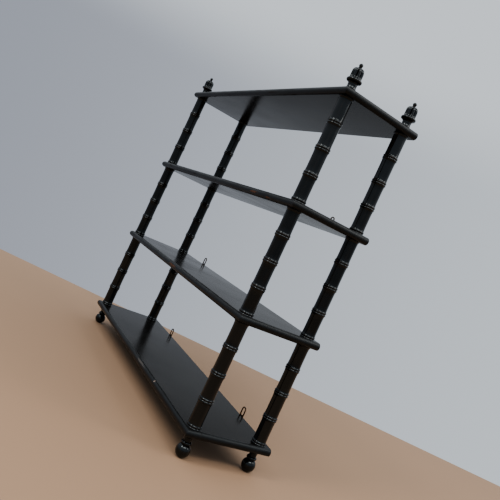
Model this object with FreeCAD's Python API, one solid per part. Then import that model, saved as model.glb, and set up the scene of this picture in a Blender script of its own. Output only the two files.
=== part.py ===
import FreeCAD, Part
import math
import os

from FreeCAD import Vector

# Hanging wall shelf of four boards carried by bamboo-turned posts.
# Millimetres. +X is to the right, +Y is towards the wall and +Z is up.
# The origin is on the floor, in the middle of the space that the shelf takes up.

# Boards
post_spacing_x = 660.0
post_spacing_y = 135.0
end_overhang = 20.0
depth_overhang = 19.5
shelf_thickness = 14.0
bay_height = 190.0

# Posts: straight shafts with raised bamboo nodes, and half a node against each board
shaft_diameter = 24.0
node_diameter = 27.0
node_reach = 4.5
node_lift = 1.5
segments_per_post = 4

# Round spigots that pass through the boards into the next turned piece
spigot_diameter = 10.0
spigot_reach = 12.0
spigot_clearance = 0.15
spigot_end_gap = 1.0

# Feet: a trumpet, a short neck, and a ring on a ball
foot_trumpet_diameter = 25.5
foot_trumpet_height = 9.0
foot_neck_diameter = 13.5
foot_neck_height = 2.2
foot_ring_diameter = 19.0
foot_ring_height = 5.8
foot_ball_diameter = 25.6
foot_pad_diameter = 9.0

# Finials: a trumpet, a cove, a thick rim, a dome, a stem and a small knop
finial_trumpet_diameter = 23.5
finial_trumpet_height = 9.5
finial_waist_diameter = 16.5
finial_cove_height = 4.9
finial_rim_diameter = 27.3
finial_rim_height = 6.0
finial_dome_diameter = 21.8
finial_dome_height = 20.0
finial_stem_diameter = 5.6
finial_stem_height = 2.6
finial_knop_diameter = 7.2

# How far along its two legs a hollow curve turns
flare_turn = 0.3

# Hangers: flat plates with a tall eye, screwed to the back edge of each board
hanger_inset = 110.0
hanger_thickness = 2.0
hanger_rim = 2.1
hanger_margin = 1.0
eye_width = 9.0
eye_straight = 6.0
eye_lift = 1.0
screw_diameter = 3.2
screw_length = 18.0
screw_clearance = 0.15

board_names = ["bottom", "lower", "upper", "top"]
post_tiers = ["lower", "middle", "upper"]
hanger_sides = {
    "bottom": ["left", "right"],
    "lower": ["left"],
    "upper": ["left", "right"],
    "top": ["left", "right"],
}

# Places worked out from the sizes above
ball_radius = foot_ball_diameter / 2
ball_rise = math.sqrt(ball_radius**2 - (foot_neck_diameter / 2) ** 2)
ball_drop = math.sqrt(ball_radius**2 - (foot_pad_diameter / 2) ** 2)
foot_stem_height = foot_trumpet_height + foot_neck_height + foot_ring_height
foot_height = foot_stem_height + ball_rise + ball_drop
board_pitch = bay_height + shelf_thickness
board_width = post_spacing_x + 2 * end_overhang
board_depth = post_spacing_y + 2 * depth_overhang
front_y = -(board_depth + hanger_thickness) / 2
back_y = front_y + board_depth
row_places = {"front": front_y + depth_overhang, "back": back_y - depth_overhang}
column_places = {"left": -post_spacing_x / 2, "right": post_spacing_x / 2}
hanger_columns = {
    "left": column_places["left"] + hanger_inset,
    "right": column_places["right"] - hanger_inset,
}
spigot_radius = spigot_diameter / 2
spigot_length = shelf_thickness + spigot_reach
socket_radius = spigot_radius + spigot_clearance
socket_depth = spigot_reach + spigot_end_gap
screw_radius = screw_diameter / 2
towards_board = Vector(0, -1, 0)


def underside(level):
    """Height of a board's underside above the floor."""
    return foot_height + level * board_pitch


def top_side(level):
    """Height of a board's top above the floor."""
    return underside(level) + shelf_thickness


def hanger_places(level):
    """Places along a board of its hangers."""
    return [hanger_columns[side] for side in hanger_sides[board_names[level]]]


def face(place, *runs):
    """Flat face from runs of points: two points are a line and three are an arc."""
    edges = []
    for run in runs:
        points = [place(*point) for point in run]
        curve = Part.Arc(*points) if len(points) == 3 else Part.LineSegment(*points)
        edges.append(curve.toShape())
    return Part.Face(Part.Wire(edges))


def turned(*runs):
    """Solid turned about the Z axis from runs of points, each a radius and a height."""
    half = face(lambda radius, height: Vector(radius, 0, height), *runs)
    return half.revolve(Vector(0, 0, 0), Vector(0, 0, 1), 360)


def lines(*points):
    """Straight runs through the points."""
    return list(zip(points, points[1:]))


def screw_shank(clearance, level, x):
    """Shank of a hanger screw, from the back edge of a board into its wood."""
    place = Vector(x, back_y, underside(level) + shelf_thickness / 2)
    length = screw_length - hanger_thickness + clearance
    return Part.makeCylinder(screw_radius + clearance, length, place, towards_board)


def screw_head(clearance, level, x):
    """Countersunk head of a hanger screw, as deep as the plate is thick."""
    place = Vector(x, back_y + hanger_thickness, underside(level) + shelf_thickness / 2)
    small = screw_radius + clearance
    return Part.makeCone(small + hanger_thickness, small, hanger_thickness, place, towards_board)


def board(level):
    """Board with half-round front and ends, holes for the spigots and for the screws."""
    low = underside(level)
    middle = low + shelf_thickness / 2
    high = top_side(level)
    end = board_width / 2
    flat_end = end - shelf_thickness / 2
    flat_front = front_y + shelf_thickness / 2
    lengthwise = face(
        lambda x, z: Vector(x, front_y, z),
        [(-flat_end, low), (flat_end, low)],
        [(flat_end, low), (end, middle), (flat_end, high)],
        [(flat_end, high), (-flat_end, high)],
        [(-flat_end, high), (-end, middle), (-flat_end, low)],
    ).extrude(Vector(0, board_depth, 0))
    crosswise = face(
        lambda y, z: Vector(-end, y, z),
        [(back_y, low), (flat_front, low)],
        [(flat_front, low), (front_y, middle), (flat_front, high)],
        [(flat_front, high), (back_y, high)],
        [(back_y, high), (back_y, low)],
    ).extrude(Vector(board_width, 0, 0))
    holes = [
        Part.makeCylinder(socket_radius, shelf_thickness, Vector(x, y, low))
        for x in column_places.values()
        for y in row_places.values()
    ]
    holes += [screw_shank(screw_clearance, level, x) for x in hanger_places(level)]
    return lengthwise.common(crosswise).cut(holes)


def post():
    """Post section with a socket below, bamboo nodes and a spigot on top."""
    shaft = shaft_diameter / 2
    node = node_diameter / 2
    segment = bay_height / segments_per_post
    spigot_top = bay_height + spigot_length
    points = [(0, socket_depth), (socket_radius, socket_depth), (socket_radius, 0)]
    points += [(node, 0), (shaft, node_lift + node_reach)]
    for count in range(1, segments_per_post):
        height = node_lift + count * segment
        points += [(shaft, height - node_reach), (node, height), (shaft, height + node_reach)]
    points += [(shaft, bay_height + node_lift - node_reach), (node, bay_height)]
    points += [(spigot_radius, bay_height)]
    points += [(spigot_radius, spigot_top), (0, spigot_top), (0, socket_depth)]
    return turned(*lines(*points))


def flare(wide, narrow, start, finish):
    """Arc of a hollow curve, from its wide end to its narrow one."""
    middle = narrow + (wide - narrow) * flare_turn, start + (finish - start) * flare_turn
    return [(wide, start), middle, (narrow, finish)]


def foot():
    """Turned foot with its spigot up. The underside of the bottom board is at height 0."""
    neck = foot_neck_diameter / 2
    pad = foot_pad_diameter / 2
    trumpet = flare(foot_trumpet_diameter / 2, neck, 0, -foot_trumpet_height)
    ring_top = -foot_trumpet_height - foot_neck_height
    ball_top = -foot_stem_height
    ring = (foot_ring_diameter / 2, (ring_top + ball_top) / 2)
    return turned(
        *lines((0, -foot_height), (0, spigot_length), (spigot_radius, spigot_length)),
        *lines((spigot_radius, spigot_length), (spigot_radius, 0), trumpet[0]),
        trumpet,
        [trumpet[-1], (neck, ring_top)],
        [(neck, ring_top), ring, (neck, ball_top)],
        [(neck, ball_top), (ball_radius, ball_top - ball_rise), (pad, -foot_height)],
        [(pad, -foot_height), (0, -foot_height)],
    )


def finial():
    """Turned finial with a blind socket. The top of the top board is at height 0."""
    waist = finial_waist_diameter / 2
    dome = finial_dome_diameter / 2
    stem = finial_stem_diameter / 2
    knop = finial_knop_diameter / 2
    rim_low = finial_trumpet_height + finial_cove_height
    rim_middle = rim_low + finial_rim_height / 2
    dome_low = rim_low + finial_rim_height
    dome_high = dome_low + finial_dome_height
    knop_low = dome_high + finial_stem_height
    knop_middle = knop_low + math.sqrt(knop**2 - stem**2)
    knop_top = knop_middle + knop
    dome_round = dome - stem
    dome_straight = dome_high - dome_round
    dome_turn = dome_round * math.sqrt(0.5)
    dome_side = (stem + dome_turn, dome_straight + dome_turn)
    trumpet = flare(finial_trumpet_diameter / 2, waist, 0, finial_trumpet_height)
    cove = flare(dome, waist, rim_low, finial_trumpet_height)
    return turned(
        *lines((0, knop_top), (0, socket_depth), (socket_radius, socket_depth)),
        *lines((socket_radius, socket_depth), (socket_radius, 0), trumpet[0]),
        trumpet,
        cove[::-1],
        [(dome, rim_low), (finial_rim_diameter / 2, rim_middle), (dome, dome_low)],
        [(dome, dome_low), (dome, dome_straight)],
        [(dome, dome_straight), dome_side, (stem, dome_high)],
        [(stem, dome_high), (stem, knop_low)],
        [(stem, knop_low), (knop, knop_middle), (0, knop_top)],
    )


def hanger(level, x):
    """Hanger plate: square below, round above, with a tall eye and a countersunk hole."""
    outer = eye_width / 2 + hanger_rim
    inner = eye_width / 2
    low = underside(level) + hanger_margin
    eye_low = top_side(level) + eye_lift + inner
    eye_high = eye_low + eye_straight

    def place(across, height):
        return Vector(x + across, back_y, height)

    plate = face(
        place,
        *lines((-outer, eye_high), (-outer, low), (outer, low), (outer, eye_high)),
        [(outer, eye_high), (0, eye_high + outer), (-outer, eye_high)],
    )
    eye = face(
        place,
        [(-inner, eye_high), (-inner, eye_low)],
        [(-inner, eye_low), (0, eye_low - inner), (inner, eye_low)],
        [(inner, eye_low), (inner, eye_high)],
        [(inner, eye_high), (0, eye_high + inner), (-inner, eye_high)],
    )
    solid = plate.cut(eye).extrude(Vector(0, hanger_thickness, 0))
    return solid.cut(screw_head(screw_clearance, level, x))


def screw(level, x):
    """Countersunk wood screw through a hanger into the board."""
    return screw_head(0, level, x).fuse(screw_shank(0, level, x))


def placed(piece, side, row, height):
    """Copy of a turned piece at one corner of the boards."""
    copy = piece.copy()
    copy.translate(Vector(column_places[side], row_places[row], height))
    return copy


def save(name, solids):
    """One file for a named piece, or for a group of alike pieces."""
    Part.makeCompound(solids).exportStep(f"parts/{name}.step")


os.makedirs("parts", exist_ok=True)
top_height = top_side(len(board_names) - 1)
for row in row_places:
    save(f"{row}_feet", [placed(foot(), side, row, underside(0)) for side in column_places])
    save(f"{row}_finials", [placed(finial(), side, row, top_height) for side in column_places])
    for side in column_places:
        for tier, name in enumerate(post_tiers):
            save(f"{name}_{row}_{side}_post", [placed(post(), side, row, top_side(tier))])
screws = []
for level, name in enumerate(board_names):
    save(f"{name}_shelf", [board(level)])
    save(f"{name}_hangers", [hanger(level, x) for x in hanger_places(level)])
    screws += [screw(level, x) for x in hanger_places(level)]
save("hanger_screws", screws)
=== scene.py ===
import math

import bmesh
import bpy
import numpy as np
from mathutils import Matrix, Vector


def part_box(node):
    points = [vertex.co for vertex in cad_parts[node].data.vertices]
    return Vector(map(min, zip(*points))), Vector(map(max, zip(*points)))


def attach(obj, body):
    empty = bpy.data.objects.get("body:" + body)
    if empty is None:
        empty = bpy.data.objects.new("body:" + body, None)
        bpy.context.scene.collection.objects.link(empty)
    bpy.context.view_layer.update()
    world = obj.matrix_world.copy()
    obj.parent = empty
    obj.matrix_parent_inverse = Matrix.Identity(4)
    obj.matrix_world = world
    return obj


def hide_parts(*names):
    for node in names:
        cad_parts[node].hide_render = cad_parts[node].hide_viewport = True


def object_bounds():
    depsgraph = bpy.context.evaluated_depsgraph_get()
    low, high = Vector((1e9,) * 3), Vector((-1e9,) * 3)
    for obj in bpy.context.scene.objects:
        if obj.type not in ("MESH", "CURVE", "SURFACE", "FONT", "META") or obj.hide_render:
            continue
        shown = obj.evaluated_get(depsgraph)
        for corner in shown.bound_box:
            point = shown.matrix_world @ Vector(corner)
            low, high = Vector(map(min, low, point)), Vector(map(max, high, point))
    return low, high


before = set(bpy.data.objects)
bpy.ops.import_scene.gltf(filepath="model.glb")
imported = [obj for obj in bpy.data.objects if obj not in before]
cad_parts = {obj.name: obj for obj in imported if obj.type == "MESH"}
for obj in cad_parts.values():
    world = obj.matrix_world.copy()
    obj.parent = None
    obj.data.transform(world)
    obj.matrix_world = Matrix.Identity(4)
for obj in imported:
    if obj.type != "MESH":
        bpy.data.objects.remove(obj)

# Hanging wall shelf in black lacquer: four boards, bamboo-turned posts, finials, feet and hangers.
# Metres, in the frame of the solids: +X right, +Y towards the wall, +Z up, floor at height 0.
# Angles that are named values are in degrees.

cad_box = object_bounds()

BOARDS = ["bottom", "lower", "upper", "top"]
TIERS = ["lower", "middle", "upper"]
ROWS = ["front", "back"]
SIDES = ["left", "right"]
CORNERS = [(row, side) for row in ROWS for side in SIDES]
HANGER_SIDES = {"bottom": SIDES, "lower": ["left"], "upper": SIDES, "top": SIDES}

# Places and sizes read from the solids
BOARD_BOXES = {name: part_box(f"{name}_shelf") for name in BOARDS}
POST_BOXES = {
    (tier, row, side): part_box(f"{tier}_{row}_{side}_post")
    for tier in TIERS
    for row, side in CORNERS
}
HANGER_BOXES = {name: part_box(f"{name}_hangers") for name in BOARDS}
BOARD_LOW, BOARD_HIGH = BOARD_BOXES["bottom"]
THICKNESS = BOARD_HIGH.z - BOARD_LOW.z
BAY = BOARD_BOXES["lower"][0].z - BOARD_HIGH.z
FOOT_HEIGHT = BOARD_LOW.z - cad_box[0].z
FINIAL_HEIGHT = cad_box[1].z - BOARD_BOXES["top"][1].z
HANGER_THICKNESS = HANGER_BOXES["bottom"][1].y - HANGER_BOXES["bottom"][0].y


def row_radius(name):
    """Largest radius of the turned pieces that share a node."""
    low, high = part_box(name)
    return (high.y - low.y) / 2


NODE_RADIUS = row_radius("lower_front_left_post")
RIM_RADIUS = row_radius("front_finials")
BALL_RADIUS = row_radius("front_feet")


def axis_of(row, side):
    """Place in plan of one corner's turned pieces."""
    low, high = POST_BOXES["lower", row, side]
    return (low.x + high.x) / 2, (low.y + high.y) / 2


def add_object(name, mesh, material, node):
    """Object for one piece, which stands for a node's solid."""
    piece = bpy.data.objects.new(name, mesh)
    bpy.context.scene.collection.objects.link(piece)
    if not mesh.materials:
        mesh.materials.append(material)
    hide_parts(node)
    return piece


def finish_mesh(name, bm, sharp_angle):
    """Mesh from bmesh geometry, smooth but for edges that turn by more than the angle."""
    bmesh.ops.recalc_face_normals(bm, faces=bm.faces)
    mesh = bpy.data.meshes.new(name)
    bm.to_mesh(mesh)
    bm.free()
    mesh.shade_smooth()
    mesh.set_sharp_from_angle(angle=math.radians(sharp_angle))
    return mesh


# Turned pieces: sides, sharp angle, steps of a hollow curve, and how far along its two legs it bends
TURNED_SIDES = 48
TURNED_SHARP = 40
FLARE_STEPS = 14
FLARE_BEND = 0.3


def lathe(name, profile, sides, reach=None):
    """Closed mesh turned about Z from (radius, height) points, from the bottom to the top.

    reach(angle, radius, height) may change the radius round the axis."""
    bm = bmesh.new()
    rings = []
    for radius, height in profile:
        ring = []
        for index in range(sides):
            angle = 2 * math.pi * index / sides
            out = reach(angle, radius, height) if reach else radius
            ring.append(bm.verts.new((out * math.cos(angle), out * math.sin(angle), height)))
        rings.append(ring)
    for low, high in zip(rings, rings[1:]):
        for index in range(sides):
            after = (index + 1) % sides
            bm.faces.new((low[index], low[after], high[after], high[index]))
    bm.faces.new(rings[0][::-1])
    bm.faces.new(rings[-1])
    return finish_mesh(name, bm, TURNED_SHARP)


def arc(start, middle, end, steps):
    """Points of a circle's arc through three points of a profile, its start left out."""
    (ax, ay), (bx, by), (cx, cy) = start, middle, end
    d = 2 * (ax * (by - cy) + bx * (cy - ay) + cx * (ay - by))
    ux = ((ax**2 + ay**2) * (by - cy) + (bx**2 + by**2) * (cy - ay) + (cx**2 + cy**2) * (ay - by)) / d
    uy = ((ax**2 + ay**2) * (cx - bx) + (bx**2 + by**2) * (ax - cx) + (cx**2 + cy**2) * (bx - ax)) / d
    radius = math.hypot(ax - ux, ay - uy)
    first = math.atan2(ay - uy, ax - ux)
    turn_middle = (math.atan2(by - uy, bx - ux) - first) % (2 * math.pi)
    turn_end = (math.atan2(cy - uy, cx - ux) - first) % (2 * math.pi)
    if turn_middle > turn_end:
        turn_end -= 2 * math.pi
    angles = [first + turn_end * step / steps for step in range(1, steps + 1)]
    return [(ux + radius * math.cos(a), uy + radius * math.sin(a)) for a in angles]


def flare_bend(wide, narrow, start, finish):
    """Middle point of a hollow curve between a wide end and a narrow one."""
    return narrow + (wide - narrow) * FLARE_BEND, start + (finish - start) * FLARE_BEND


def clipped(points, low, high):
    """Part of a rising profile between two heights."""
    radii, heights = zip(*points)
    ends = [(float(np.interp(level, heights, radii)), level) for level in (low, high)]
    return [ends[0], *[point for point in points if low < point[1] < high], ends[1]]


# Posts: a pair of half-round beads with a cut between them at each bamboo node
SHAFT_RADIUS = 0.0120
SEGMENTS_PER_POST = 4
NODE_LIFT = 0.0015
BEAD_CREST = 0.0020
BEAD_END = 0.0042
GROOVE_RADIUS = 0.0126
NODE_FLARE = 0.0004
FLARE_WIDTH = 0.0103
NODE_STEPS = 6


def node_side():
    """Radius and distance from a node's middle, from the cut over a bead to the straight shaft."""
    bead_foot = SHAFT_RADIUS + NODE_FLARE
    side = [(GROOVE_RADIUS, 0.0)]
    shares = [step / NODE_STEPS for step in range(1, NODE_STEPS + 1)]
    for share in shares:
        radius = NODE_RADIUS - (NODE_RADIUS - GROOVE_RADIUS) * (1 - share) ** 2
        side.append((radius, BEAD_CREST * share))
    for share in shares:
        radius = NODE_RADIUS - (NODE_RADIUS - bead_foot) * share**2
        side.append((radius, BEAD_CREST + (BEAD_END - BEAD_CREST) * share))
    for share in shares:
        radius = SHAFT_RADIUS + NODE_FLARE * (1 - share) ** 2
        side.append((radius, BEAD_END + FLARE_WIDTH * share))
    return side


def post_profile():
    """Bamboo post between two boards, which hide parts of its first and last node."""
    side = node_side()
    points = []
    for count in range(SEGMENTS_PER_POST + 1):
        height = NODE_LIFT + count * BAY / SEGMENTS_PER_POST
        points += [(radius, height - away) for radius, away in reversed(side)]
        points += [(radius, height + away) for radius, away in side[1:]]
    return clipped(points, 0, BAY)


def add_posts(material):
    """Twelve bamboo posts from one turned mesh."""
    mesh = lathe("bamboo_post", post_profile(), TURNED_SIDES)
    for (tier, row, side), (low, _) in POST_BOXES.items():
        node = f"{tier}_{row}_{side}_post"
        piece = add_object(f"{node}_turning", mesh, material, node)
        piece.location = (*axis_of(row, side), low.z)
        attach(piece, "root")


# Feet: a ball, a ring on it, a short neck and a trumpet
FOOT_TRUMPET_RADIUS = 0.01275
FOOT_TRUMPET_HEIGHT = 0.0090
FOOT_NECK_RADIUS = 0.00675
FOOT_NECK_HEIGHT = 0.0022
FOOT_RING_RADIUS = 0.0095
FOOT_PAD_RADIUS = 0.0045
BALL_STEPS = 28
RING_STEPS = 12


def foot_profile():
    """Foot from its pad up to the bottom board."""
    neck = FOOT_NECK_RADIUS
    middle = math.sqrt(BALL_RADIUS**2 - FOOT_PAD_RADIUS**2)
    ball_top = (neck, middle + math.sqrt(BALL_RADIUS**2 - neck**2))
    trumpet_low = FOOT_HEIGHT - FOOT_TRUMPET_HEIGHT
    ring_top = (neck, trumpet_low - FOOT_NECK_HEIGHT)
    bend = flare_bend(FOOT_TRUMPET_RADIUS, neck, FOOT_HEIGHT, trumpet_low)
    points = [(FOOT_PAD_RADIUS, 0.0)]
    points += arc(points[-1], (BALL_RADIUS, middle), ball_top, BALL_STEPS)
    points += arc(ball_top, (FOOT_RING_RADIUS, (ball_top[1] + ring_top[1]) / 2), ring_top, RING_STEPS)
    points += [(neck, trumpet_low)]
    points += arc(points[-1], bend, (FOOT_TRUMPET_RADIUS, FOOT_HEIGHT), FLARE_STEPS)
    return points


def add_feet(material):
    """Four ball feet."""
    mesh = lathe("ball_foot", foot_profile(), TURNED_SIDES)
    for row, side in CORNERS:
        piece = add_object(f"{row}_{side}_foot", mesh, material, f"{row}_feet")
        piece.location = (*axis_of(row, side), cad_box[0].z)
        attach(piece, "root")


# Finials: a trumpet, a cove, a rim, a dome carved into lobes, a stem and a knop
FINIAL_TRUMPET_RADIUS = 0.01175
FINIAL_WAIST_RADIUS = 0.00825
FINIAL_WAIST_HEIGHT = 0.0095
RIM_LOW = 0.0144
DOME_LOW = 0.0204
DOME_HIGH = 0.0404
DOME_RADIUS = 0.0109
STEM_RADIUS = 0.0028
KNOP_RADIUS = 0.0036
KNOP_TIP_RADIUS = STEM_RADIUS / 20
COVE_STEPS = 10
RIM_STEPS = 14
DOME_STEPS = 12
SHOULDER_STEPS = 16
KNOP_STEPS = 14

# Lobes: count, share of the radius cut by grooves, share of the dome where they deepen, sides of each
LOBES = 8
LOBE_DEPTH = 0.30
LOBE_FOOT = 0.25
LOBE_SIDES = 16

# How each finial's grooves are turned about its axis
FINIAL_TURNS = {"front_left": -20, "front_right": -14, "back_left": -5, "back_right": -21}


def finial_profile():
    """Finial from the top board up."""
    waist = (FINIAL_WAIST_RADIUS, FINIAL_WAIST_HEIGHT)
    rim_low = (DOME_RADIUS, RIM_LOW)
    dome_low = (DOME_RADIUS, DOME_LOW)
    shoulder = DOME_RADIUS - STEM_RADIUS
    straight = DOME_HIGH - shoulder
    turn = shoulder * math.sqrt(0.5)
    knop_middle = FINIAL_HEIGHT - KNOP_RADIUS
    knop_low = (STEM_RADIUS, knop_middle - math.sqrt(KNOP_RADIUS**2 - STEM_RADIUS**2))
    trumpet_bend = flare_bend(FINIAL_TRUMPET_RADIUS, waist[0], 0, waist[1])
    cove_bend = flare_bend(DOME_RADIUS, waist[0], RIM_LOW, waist[1])
    points = [(FINIAL_TRUMPET_RADIUS, 0.0)]
    points += arc(points[-1], trumpet_bend, waist, FLARE_STEPS)
    points += arc(waist, cove_bend, rim_low, COVE_STEPS)
    points += arc(rim_low, (RIM_RADIUS, (RIM_LOW + DOME_LOW) / 2), dome_low, RIM_STEPS)
    for step in range(1, DOME_STEPS + 1):
        points.append((DOME_RADIUS, DOME_LOW + (straight - DOME_LOW) * step / DOME_STEPS))
    points += arc(
        points[-1], (STEM_RADIUS + turn, straight + turn), (STEM_RADIUS, DOME_HIGH), SHOULDER_STEPS
    )
    points += [knop_low]
    points += arc(knop_low, (KNOP_RADIUS, knop_middle), (KNOP_TIP_RADIUS, FINIAL_HEIGHT), KNOP_STEPS)
    return points


def lobed(angle, radius, height):
    """Radius of the dome where carved grooves part it into lobes."""
    if not DOME_LOW < height < DOME_HIGH:
        return radius
    share = (height - DOME_LOW) / (DOME_HIGH - DOME_LOW)
    depth = LOBE_DEPTH * math.sin(math.pi / 2 * min(1, share / LOBE_FOOT))
    crest = abs(math.cos(LOBES * angle / 2))
    return radius * (1 - depth * (1 - crest))


def add_finials(material):
    """Four lobed finials."""
    mesh = lathe("lobed_finial", finial_profile(), LOBE_SIDES * LOBES, lobed)
    for row, side in CORNERS:
        corner = f"{row}_{side}"
        piece = add_object(f"{corner}_finial", mesh, material, f"{row}_finials")
        piece.location = (*axis_of(row, side), BOARD_BOXES["top"][1].z)
        piece.rotation_euler.z = math.radians(FINIAL_TURNS[corner])
        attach(piece, "root")


# Boards: steps round their half-round edges, sharp angle, and which of their two finishes the edges take
EDGE_STEPS = 20
FLAT_SHARP = 30
EDGE_FINISH = 1


def board_mesh(name, low, high):
    """Board with a half-round front and ends, mitred at the corners, and a square back."""
    bm = bmesh.new()
    half = (high.z - low.z) / 2
    loops = []
    for step in range(EDGE_STEPS + 1):
        angle = math.pi * (step / EDGE_STEPS - 0.5)
        inset = half * (1 - math.cos(angle))
        height = low.z + half + half * math.sin(angle)
        corners = [
            (low.x + inset, low.y + inset),
            (high.x - inset, low.y + inset),
            (high.x - inset, high.y),
            (low.x + inset, high.y),
        ]
        loops.append([bm.verts.new((x, y, height)) for x, y in corners])
    for below, above in zip(loops, loops[1:]):
        for index in range(len(below)):
            after = (index + 1) % len(below)
            edge = bm.faces.new((below[index], below[after], above[after], above[index]))
            edge.material_index = EDGE_FINISH
    bm.faces.new(loops[0][::-1])
    bm.faces.new(loops[-1])
    return finish_mesh(name, bm, FLAT_SHARP)


def add_boards(flats, edges):
    """Four boards, with one finish on their flats and another on their edges."""
    for name in BOARDS:
        mesh = board_mesh(f"{name}_board", *BOARD_BOXES[name])
        piece = add_object(f"{name}_board", mesh, flats, f"{name}_shelf")
        mesh.materials.append(edges)
        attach(piece, "root")


# Hangers: upright plates with a tall eye above the board and a screw hole below it
HANGER_HALF_WIDTH = 0.0066
HANGER_RIM = 0.0021
HANGER_BEVEL = 0.0003
EYE_LIFT = 0.0010
OUTLINE_STEPS = 24
BEVEL_STEPS = 2
PLATE_SHARP = 50

# Screws: countersunk, with a slotted head, each turned further than the one before
SCREW_HEAD_RADIUS = 0.0036
SCREW_HEAD_EDGE = 0.0002
SCREW_RADIUS = 0.0016
SCREW_TIP_RADIUS = SCREW_RADIUS / 4
SCREW_LENGTH = 0.0180
SCREW_SIDES = 32
SCREW_TURN = 67
SLOT_WIDTH = 0.0010
SLOT_DEPTH = 0.0008


def round_outline(half_width, low, high):
    """Outline with straight sides and a half-round top; the bottom is square."""
    points = [(-half_width, low), (half_width, low), (half_width, high)]
    turns = [math.pi * step / OUTLINE_STEPS for step in range(1, OUTLINE_STEPS)]
    points += [(half_width * math.cos(a), high + half_width * math.sin(a)) for a in turns]
    return points + [(-half_width, high)]


def ring_outline(radius, low, high):
    """Outline of an upright slot with round ends, or of a circle where they meet."""
    turns = [math.pi * step / OUTLINE_STEPS for step in range(OUTLINE_STEPS + 1)]
    points = [(radius * math.cos(a), high + radius * math.sin(a)) for a in turns]
    return points + [(-radius * math.cos(a), low - radius * math.sin(a)) for a in turns]


def hanger_outlines():
    """Plate, eye and screw hole of a hanger, about the middle of the hole."""
    low, high = HANGER_BOXES["bottom"]
    screw_height = BOARD_LOW.z + THICKNESS / 2
    eye = HANGER_HALF_WIDTH - HANGER_RIM
    eye_low = BOARD_HIGH.z + EYE_LIFT + eye - screw_height
    eye_high = high.z - HANGER_HALF_WIDTH - screw_height
    return [
        round_outline(HANGER_HALF_WIDTH, low.z - screw_height, eye_high),
        ring_outline(eye, eye_low, eye_high),
        ring_outline(SCREW_HEAD_RADIUS + HANGER_BEVEL, 0, 0),
    ]


def plate_mesh(name, outlines, thickness):
    """Flat plate inside its first outline, with the others as holes and its edges a little rounded."""
    curve = bpy.data.curves.new(name, "CURVE")
    curve.dimensions = "2D"
    curve.fill_mode = "BOTH"
    curve.bevel_depth = HANGER_BEVEL
    curve.bevel_resolution = BEVEL_STEPS
    curve.offset = -HANGER_BEVEL
    curve.extrude = thickness / 2 - HANGER_BEVEL
    for outline in outlines:
        spline = curve.splines.new("POLY")
        spline.points.add(len(outline) - 1)
        for point, (x, y) in zip(spline.points, outline):
            point.co = (x, y, 0, 1)
        spline.use_cyclic_u = True
    maker = bpy.data.objects.new(f"{name}_maker", curve)
    mesh = bpy.data.meshes.new_from_object(maker)
    bpy.data.objects.remove(maker)
    mesh.name = name
    mesh.materials.clear()
    mesh.shade_smooth()
    mesh.set_sharp_from_angle(angle=math.radians(PLATE_SHARP))
    return mesh


def hanger_places():
    """Board name, side, and the middle of each hanger's screw hole on the wall side."""
    for name in BOARDS:
        low, high = HANGER_BOXES[name]
        height = BOARD_BOXES[name][0].z + THICKNESS / 2
        across = {"left": low.x + HANGER_HALF_WIDTH, "right": high.x - HANGER_HALF_WIDTH}
        for side in HANGER_SIDES[name]:
            yield name, side, Vector((across[side], high.y, height))


def add_hangers(material):
    """Hangers on the back edges of the boards."""
    mesh = plate_mesh("hanger_plate", hanger_outlines(), HANGER_THICKNESS)
    upright = Matrix.Rotation(math.radians(90), 4, "X")
    inward = Vector((0, HANGER_THICKNESS / 2, 0))
    for name, side, place in hanger_places():
        piece = add_object(f"{name}_{side}_hanger", mesh, material, f"{name}_hangers")
        piece.matrix_world = Matrix.Translation(place - inward) @ upright
        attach(piece, "root")


def screw_mesh():
    """Countersunk wood screw with a slotted head, its outer face at height 0."""
    profile = [
        (SCREW_TIP_RADIUS, -SCREW_LENGTH),
        (SCREW_RADIUS, -SCREW_LENGTH + 2 * SCREW_RADIUS),
        (SCREW_RADIUS, -HANGER_THICKNESS),
        (SCREW_HEAD_RADIUS, -SCREW_HEAD_EDGE),
        (SCREW_HEAD_RADIUS - SCREW_HEAD_EDGE, 0),
    ]
    blank = bpy.data.objects.new("screw_blank", lathe("screw_blank", profile, SCREW_SIDES))
    bm = bmesh.new()
    bmesh.ops.create_cube(bm, size=2)
    bmesh.ops.scale(bm, vec=(2 * SCREW_HEAD_RADIUS, SLOT_WIDTH / 2, SLOT_DEPTH), verts=bm.verts)
    cutter = bpy.data.objects.new("slot_cutter", finish_mesh("slot_cutter", bm, FLAT_SHARP))
    for thing in (blank, cutter):
        bpy.context.scene.collection.objects.link(thing)
    cut = blank.modifiers.new("slot", "BOOLEAN")
    cut.object = cutter
    cut.operation = "DIFFERENCE"
    depsgraph = bpy.context.evaluated_depsgraph_get()
    mesh = bpy.data.meshes.new_from_object(blank.evaluated_get(depsgraph))
    mesh.name = "slotted_screw"
    for thing in (blank, cutter):
        bpy.data.objects.remove(thing)
    return mesh


def add_screws(material):
    """One slotted screw in each hanger, none turned quite like the next."""
    mesh = screw_mesh()
    outward = Matrix.Rotation(math.radians(-90), 4, "X")
    for count, (name, side, place) in enumerate(hanger_places()):
        piece = add_object(f"{name}_{side}_screw", mesh, material, "hanger_screws")
        turn = Matrix.Rotation(math.radians(SCREW_TURN * count), 4, "Z")
        piece.matrix_world = Matrix.Translation(place) @ outward @ turn
        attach(piece, "root")


# Sockets of a Mix node that hold its two colours and their blend
MIX_FIRST = 6
MIX_SECOND = 7
MIX_RESULT = 2

# Range of the numbers that tell pieces apart
OWN_NUMBERS = 50


def put(socket, value):
    """Link an output to a socket, or set a plain value on it."""
    if isinstance(value, bpy.types.NodeSocket):
        socket.id_data.links.new(socket, value)
    else:
        socket.default_value = value


def mix_colours(nodes, factor, first, second):
    """Blend of two colours in a node tree."""
    node = nodes.new("ShaderNodeMix")
    node.data_type = "RGBA"
    put(node.inputs["Factor"], factor)
    put(node.inputs[MIX_FIRST], first)
    put(node.inputs[MIX_SECOND], second)
    return node.outputs[MIX_RESULT]


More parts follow.
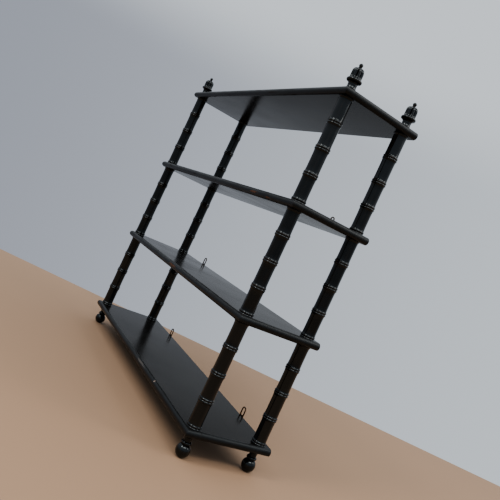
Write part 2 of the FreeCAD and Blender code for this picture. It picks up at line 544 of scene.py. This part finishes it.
class Paint:
    """Node material, with a short call for each node that the finishes share."""

    def __init__(self, name):
        self.material = bpy.data.materials.new(name)
        self.material.use_nodes = True
        self.nodes = self.material.node_tree.nodes
        self.shader = self.nodes["Principled BSDF"]

    def coordinates(self, kind):
        """Texture coordinates of one kind."""
        return self.nodes.new("ShaderNodeTexCoord").outputs[kind]

    def scaled(self, vector, scale, location=(0, 0, 0)):
        """Coordinates times a scale, and then moved."""
        node = self.nodes.new("ShaderNodeMapping")
        put(node.inputs["Vector"], vector)
        put(node.inputs["Scale"], scale)
        put(node.inputs["Location"], location)
        return node.outputs["Vector"]

    def noise(self, vector, scale, detail, offset=0.0):
        """Noise of so many features to the metre, each axis by itself where there are three scales."""
        if isinstance(scale, tuple):
            vector = self.scaled(vector, scale)
            scale = 1
        node = self.nodes.new("ShaderNodeTexNoise")
        node.noise_dimensions = "4D"
        put(node.inputs["Vector"], vector)
        put(node.inputs["W"], offset)
        put(node.inputs["Scale"], scale)
        put(node.inputs["Detail"], detail)
        return node.outputs["Fac"]

    def spread(self, value, source=(0, 1), target=(0, 1)):
        """Value carried over from one range to another, and kept inside it."""
        node = self.nodes.new("ShaderNodeMapRange")
        put(node.inputs["Value"], value)
        put(node.inputs["From Min"], source[0])
        put(node.inputs["From Max"], source[1])
        put(node.inputs["To Min"], target[0])
        put(node.inputs["To Max"], target[1])
        return node.outputs["Result"]

    def math(self, operation, first, second):
        """One step of arithmetic on two values."""
        node = self.nodes.new("ShaderNodeMath")
        node.operation = operation
        put(node.inputs[0], first)
        put(node.inputs[1], second)
        return node.outputs["Value"]

    def length(self, vector):
        """Length of a vector."""
        node = self.nodes.new("ShaderNodeVectorMath")
        node.operation = "LENGTH"
        put(node.inputs[0], vector)
        return node.outputs["Value"]

    def blend(self, factor, first, second):
        """Blend of two colours."""
        return mix_colours(self.nodes, factor, first, second)

    def bump(self, height, distance, normal=None):
        """Normal of a surface with bumps, on top of another normal where one is given."""
        node = self.nodes.new("ShaderNodeBump")
        put(node.inputs["Height"], height)
        put(node.inputs["Distance"], distance)
        if normal:
            put(node.inputs["Normal"], normal)
        return node.outputs["Normal"]

    def own_number(self):
        """Number that differs from piece to piece, so that no two wear alike."""
        chance = self.nodes.new("ShaderNodeObjectInfo").outputs["Random"]
        return self.math("MULTIPLY", chance, OWN_NUMBERS)

    def set(self, **values):
        """Link or set the shader's sockets by name."""
        for name, value in values.items():
            put(self.shader.inputs[name.replace("_", " ")], value)


# Lacquer, the wood under it, and the cool tint of its gloss
BLACK = (0.0040, 0.0039, 0.0039, 1)
BROWN_BLACK = (0.0080, 0.0067, 0.0058, 1)
WORN_BLACK = (0.0085, 0.0086, 0.0090, 1)
WORN_GREY = (0.10, 0.092, 0.084, 1)
BARE_BROWN = (0.10, 0.045, 0.022, 1)
BARE_PALE = (0.42, 0.33, 0.28, 1)
COOL_GLOSS = (0.78, 0.92, 1.0, 1)

# Stretch of a noise in which most of its values lie
NOISE_MIDDLE = (0.3, 0.7)

# Boards: noises by features to the metre, depths of bumps, and ranges of noise and of roughness
BOARD_GRAIN = (7, 230, 230)
BOARD_GRAIN_TONES = (0.35, 0.7)
BOARD_GRAIN_DEPTH = 0.00006
BOARD_PORES = (60, 1700, 1700)
BOARD_PORE_DEPTH = 0.00001
BOARD_HAZE = 11
FLAT_ROUGHNESS = (0.19, 0.26)
FLAT_IOR = 1.16
EDGE_ROUGHNESS = (0.34, 0.44)
EDGE_IOR = 1.36
EDGE_STREAKS = (26, 210, 210)
STREAK_TONES = (0.57, 0.70)
STREAK_STRENGTH = 0.05
WORN_DULLNESS = 0.22


def board_lacquer():
    """Ebonised flats of the boards: satin lacquer over lengthwise grain."""
    paint = Paint("board_lacquer")
    place = paint.coordinates("Object")
    grain = paint.noise(place, BOARD_GRAIN, detail=4)
    pores = paint.noise(place, BOARD_PORES, detail=2)
    haze = paint.noise(place, BOARD_HAZE, detail=3)
    normal = paint.bump(grain, BOARD_GRAIN_DEPTH)
    paint.set(
        Base_Color=paint.blend(paint.spread(grain, BOARD_GRAIN_TONES), BLACK, BROWN_BLACK),
        Roughness=paint.spread(haze, NOISE_MIDDLE, FLAT_ROUGHNESS),
        IOR=FLAT_IOR,
        Normal=paint.bump(pores, BOARD_PORE_DEPTH, normal),
    )
    return paint.material


# Marks on the front edges: board, place along it, share of its height, half length, half height, colour
MARKS = [
    ("upper", 0.205, 0.45, 0.018, 0.0022, BARE_BROWN),
    ("upper", 0.262, 0.25, 0.014, 0.0014, BARE_BROWN),
    ("lower", 0.005, 0.55, 0.020, 0.0026, BARE_BROWN),
    ("bottom", 0.160, 0.86, 0.0022, 0.0018, BARE_PALE),
    ("bottom", 0.068, 0.82, 0.0300, 0.0016, WORN_GREY),
]

# Each mark is an oval: its half depth in half heights, its ragged rim, how the rim fades, and its strength
MARK_DEPTH = 4
MARK_RAGS = (60, 400, 400)
MARK_RAGGEDNESS = (-0.5, 0.5)
MARK_FADE = (1.0, 0.7)
MARK_STRENGTH = 0.75


def mark_mask(paint, place, ragged, board, along, share, half_length, half_height):
    """Mask of one mark on the front edge of a board."""
    low, high = BOARD_BOXES[board]
    height = low.z + share * (high.z - low.z)
    half_depth = MARK_DEPTH * half_height
    scale = (1 / half_length, 1 / half_depth, 1 / half_height)
    centre = (-along / half_length, -low.y / half_depth, -height / half_height)
    away = paint.length(paint.scaled(place, scale, centre))
    return paint.spread(paint.math("ADD", away, ragged), MARK_FADE)


def edge_lacquer():
    """Ebonised edges of the boards: handled, rubbed brown in streaks and chipped in places."""
    paint = Paint("edge_lacquer")
    place = paint.coordinates("Object")
    grain = paint.noise(place, BOARD_GRAIN, detail=4)
    haze = paint.noise(place, BOARD_HAZE, detail=3)
    streaks = paint.noise(place, EDGE_STREAKS, detail=5)
    ragged = paint.spread(paint.noise(place, MARK_RAGS, detail=4), NOISE_MIDDLE, MARK_RAGGEDNESS)
    worn = paint.spread(streaks, STREAK_TONES)
    colour = paint.blend(paint.spread(grain, BOARD_GRAIN_TONES), BLACK, WORN_BLACK)
    colour = paint.blend(paint.math("MULTIPLY", worn, STREAK_STRENGTH), colour, BARE_BROWN)
    for *oval, bare in MARKS:
        mask = mark_mask(paint, place, ragged, *oval)
        colour = paint.blend(paint.math("MULTIPLY", mask, MARK_STRENGTH), colour, bare)
        worn = paint.math("MAXIMUM", worn, mask)
    gloss = paint.spread(haze, NOISE_MIDDLE, EDGE_ROUGHNESS)
    paint.set(
        Base_Color=colour,
        Roughness=paint.math("ADD", gloss, paint.spread(worn, target=(0, WORN_DULLNESS))),
        IOR=EDGE_IOR,
        Specular_Tint=COOL_GLOSS,
        Normal=paint.bump(grain, BOARD_GRAIN_DEPTH),
    )
    return paint.material


# Turned pieces: grain and lathe rings, haze, and brown rubs on the crests of the beads
TURNED_GRAIN = (260, 260, 10)
TURNED_GRAIN_TONES = (0.4, 0.7)
TURNED_GRAIN_DEPTH = 0.00004
LATHE_RINGS = (20, 20, 1400)
LATHE_RING_DEPTH = 0.00001
TURNED_HAZE = 40
TURNED_ROUGHNESS = (0.11, 0.19)
TURNED_IOR = 1.44
RUB_SCALE = 160
RUB_TONES = (0.56, 0.62)
RUB_STRENGTH = 0.12
RUB_DULLNESS = 0.15


def turned_lacquer():
    """Ebonised turnings: glossier, with faint lathe rings, and thin on the crests of the beads."""
    paint = Paint("turned_lacquer")
    place = paint.coordinates("Object")
    own = paint.own_number()
    grain = paint.noise(place, TURNED_GRAIN, detail=4, offset=own)
    rings = paint.noise(place, LATHE_RINGS, detail=2, offset=own)
    haze = paint.noise(place, TURNED_HAZE, detail=3, offset=own)
    radius = paint.length(paint.scaled(place, (1, 1, 0)))
    crest = paint.spread(radius, (GROOVE_RADIUS, NODE_RADIUS))
    patches = paint.spread(paint.noise(place, RUB_SCALE, detail=4, offset=own), RUB_TONES)
    rub = paint.math("MULTIPLY", patches, crest)
    colour = paint.blend(paint.spread(grain, TURNED_GRAIN_TONES), BLACK, BROWN_BLACK)
    gloss = paint.spread(haze, NOISE_MIDDLE, TURNED_ROUGHNESS)
    normal = paint.bump(grain, TURNED_GRAIN_DEPTH)
    paint.set(
        Base_Color=paint.blend(paint.math("MULTIPLY", rub, RUB_STRENGTH), colour, BARE_BROWN),
        Roughness=paint.math("ADD", gloss, paint.spread(rub, target=(0, RUB_DULLNESS))),
        IOR=TURNED_IOR,
        Specular_Tint=COOL_GLOSS,
        Normal=paint.bump(rings, LATHE_RING_DEPTH, normal),
    )
    return paint.material


# Hangers: from brass that shines to brown patina
BRASS = (0.085, 0.05, 0.024, 1)
PATINA = (0.018, 0.012, 0.008, 1)
PATINA_SCALE = 260
PATINA_TONES = (0.38, 0.62)
PATINA_METAL = (1, 0.6)
PATINA_ROUGHNESS = (0.34, 0.6)
PIT_SCALE = 1500
PIT_DEPTH = 0.00002


def aged_brass():
    """Old brass, brown with patina and dull in patches."""
    paint = Paint("aged_brass")
    place = paint.coordinates("Object")
    own = paint.own_number()
    patina = paint.spread(paint.noise(place, PATINA_SCALE, detail=5, offset=own), PATINA_TONES)
    pits = paint.noise(place, PIT_SCALE, detail=3, offset=own)
    paint.set(
        Base_Color=paint.blend(patina, BRASS, PATINA),
        Metallic=paint.spread(patina, target=PATINA_METAL),
        Roughness=paint.spread(patina, target=PATINA_ROUGHNESS),
        Normal=paint.bump(pits, PIT_DEPTH),
    )
    return paint.material


# Screws: from bare steel to rust
STEEL = (0.23, 0.22, 0.20, 1)
RUST = (0.06, 0.035, 0.022, 1)
RUST_SCALE = 700
RUST_TONES = (0.5, 0.65)
RUST_METAL = (1, 0.3)
RUST_ROUGHNESS = (0.38, 0.7)
SCRATCHES = (300, 4000, 300)
SCRATCH_DEPTH = 0.00001


def dull_steel():
    """Dulled steel with brown rust freckles."""
    paint = Paint("dull_steel")
    place = paint.coordinates("Object")
    own = paint.own_number()
    rust = paint.spread(paint.noise(place, RUST_SCALE, detail=4, offset=own), RUST_TONES)
    scratches = paint.noise(place, SCRATCHES, detail=2, offset=own)
    paint.set(
        Base_Color=paint.blend(rust, STEEL, RUST),
        Metallic=paint.spread(rust, target=RUST_METAL),
        Roughness=paint.spread(rust, target=RUST_ROUGHNESS),
        Normal=paint.bump(scratches, SCRATCH_DEPTH),
    )
    return paint.material


# Camera of the photograph
PHOTO_SIDE = 500
CAMERA_PLACE = Vector((1.1414, -0.5667, 0.3806))
CAMERA_AZIMUTH = 61.26
CAMERA_PITCH = 0.44
CAMERA_ROLL = 24.94
FOCAL_PIXELS = 575.7
OPTICAL_CENTRE = (253.4, 230.9)
SENSOR = 36.0


def add_camera():
    """Camera at the photograph's place, rolled as the photograph is."""
    data = bpy.data.cameras.new("photo_camera")
    data.sensor_width = SENSOR
    data.lens = SENSOR * FOCAL_PIXELS / PHOTO_SIDE
    data.shift_x = (PHOTO_SIDE / 2 - OPTICAL_CENTRE[0]) / PHOTO_SIDE
    data.shift_y = (OPTICAL_CENTRE[1] - PHOTO_SIDE / 2) / PHOTO_SIDE
    camera = bpy.data.objects.new("photo_camera", data)
    bpy.context.scene.collection.objects.link(camera)
    turn = Matrix.Rotation(math.radians(CAMERA_AZIMUTH), 4, "Z")
    tilt = Matrix.Rotation(math.radians(90 + CAMERA_PITCH), 4, "X")
    roll = Matrix.Rotation(math.radians(CAMERA_ROLL), 4, "Z")
    camera.matrix_world = Matrix.Translation(CAMERA_PLACE) @ turn @ tilt @ roll
    bpy.context.scene.camera = camera


def level_ways(azimuth):
    """Level directions ahead and to the right, for a look along an azimuth."""
    turn = math.radians(azimuth)
    ahead = Vector((-math.sin(turn), math.cos(turn), 0))
    return ahead, Vector((ahead.y, -ahead.x, 0))


# Floor: the way to its far edge, how far it reaches ahead of the camera, behind it and to each side
FLOOR_AZIMUTH = 58.9
FLOOR_FAR = 1.82
FLOOR_NEAR = -4.0
FLOOR_WIDE = 5.0
FLOOR_COLOUR = (0.32, 0.215, 0.14, 1)
FLOOR_ROUGHNESS = 0.8


def add_stage():
    """Plain brown floor that ends behind the shelf."""
    ahead, aside = level_ways(FLOOR_AZIMUTH)
    centre = Vector((CAMERA_PLACE.x, CAMERA_PLACE.y, cad_box[0].z))
    shares = [(FLOOR_NEAR, -1), (FLOOR_NEAR, 1), (FLOOR_FAR, 1), (FLOOR_FAR, -1)]
    corners = [centre + ahead * away + aside * FLOOR_WIDE * side for away, side in shares]
    mesh = bpy.data.meshes.new("floor")
    mesh.from_pydata([tuple(corner) for corner in corners], [], [(0, 1, 2, 3)])
    floor = bpy.data.objects.new("floor", mesh)
    bpy.context.scene.collection.objects.link(floor)
    paint = Paint("floor")
    paint.set(Base_Color=FLOOR_COLOUR, Roughness=FLOOR_ROUGHNESS)
    mesh.materials.append(paint.material)


# Tones of the surround
AHEAD_LEFT = (0.31, 0.33, 0.38, 1)
AHEAD_RIGHT = (0.56, 0.60, 0.64, 1)
AHEAD_HIGH = (0.63, 0.67, 0.71, 1)
BEHIND_LOW = (0.29, 0.30, 0.31, 1)
BEHIND_HIGH = (0.62, 0.66, 0.72, 1)
OVERHEAD = (1.0, 1.04, 1.1, 1)

# Stretches of a direction's part to the right, upwards or ahead in which one tone passes into another
AHEAD_SWEEP = (-0.6, 0.6)
AHEAD_RISE = (0.2, 0.36)
BEHIND_RISE = (0.0, 0.3)
BEHIND_TO_AHEAD = (-0.1, 0.6)
OVERHEAD_RISE = (0.5, 0.8)


def add_surround():
    """Plain surround: lighter to the right ahead of the camera, lighter upwards, and palest overhead."""
    ahead, aside = level_ways(CAMERA_AZIMUTH)
    up = (0, 0, 1)
    world = bpy.data.worlds.new("studio")
    bpy.context.scene.world = world
    world.use_nodes = True
    nodes = world.node_tree.nodes
    direction = nodes.new("ShaderNodeTexCoord").outputs["Generated"]

    def share(way, stretch):
        along = nodes.new("ShaderNodeVectorMath")
        along.operation = "DOT_PRODUCT"
        put(along.inputs[0], direction)
        put(along.inputs[1], way)
        spread = nodes.new("ShaderNodeMapRange")
        spread.interpolation_type = "SMOOTHSTEP"
        put(spread.inputs["Value"], along.outputs["Value"])
        put(spread.inputs["From Min"], stretch[0])
        put(spread.inputs["From Max"], stretch[1])
        return spread.outputs["Result"]

    front = mix_colours(nodes, share(aside, AHEAD_SWEEP), AHEAD_LEFT, AHEAD_RIGHT)
    front = mix_colours(nodes, share(up, AHEAD_RISE), front, AHEAD_HIGH)
    rear = mix_colours(nodes, share(up, BEHIND_RISE), BEHIND_LOW, BEHIND_HIGH)
    colour = mix_colours(nodes, share(ahead, BEHIND_TO_AHEAD), rear, front)
    colour = mix_colours(nodes, share(up, OVERHEAD_RISE), colour, OVERHEAD)
    put(nodes["Background"].inputs["Color"], colour)


# Windows, from the middle of the shelf: turn from the camera to its right, rise, width, height and power
WINDOWS = [
    (80, 41, 0.6, 1.8, 13),
    (-44, 45, 0.6, 1.0, 20),
    (15, 45, 1.6, 0.5, 20),
]
WINDOW_DISTANCE = 2.4
WINDOW_COLOUR = (1.0, 0.90, 0.80)


def add_windows():
    """Soft windows beside and behind the camera, which face the middle of the shelf."""
    ahead, aside = level_ways(CAMERA_AZIMUTH)
    middle = (Vector(cad_box[0]) + Vector(cad_box[1])) / 2
    for count, (turn, rise, width, height, power) in enumerate(WINDOWS):
        level = aside * math.sin(math.radians(turn)) - ahead * math.cos(math.radians(turn))
        way = level * math.cos(math.radians(rise)) + Vector((0, 0, math.sin(math.radians(rise))))
        data = bpy.data.lights.new(f"window_{count}", "AREA")
        data.shape = "RECTANGLE"
        data.size = width
        data.size_y = height
        data.energy = power
        data.color = WINDOW_COLOUR
        lamp = bpy.data.objects.new(f"window_{count}", data)
        bpy.context.scene.collection.objects.link(lamp)
        lamp.location = middle + way * WINDOW_DISTANCE
        lamp.rotation_euler = (-way).to_track_quat("-Z", "Y").to_euler()


def set_tones():
    """Picture tones with soft highlights and deep blacks."""
    view = bpy.context.scene.view_settings
    view.view_transform = "AgX"
    view.look = "AgX - Medium High Contrast"


turnings = turned_lacquer()
add_boards(board_lacquer(), edge_lacquer())
add_posts(turnings)
add_feet(turnings)
add_finials(turnings)
add_hangers(aged_brass())
add_screws(dull_steel())
add_camera()
add_stage()
add_surround()
add_windows()
set_tones()
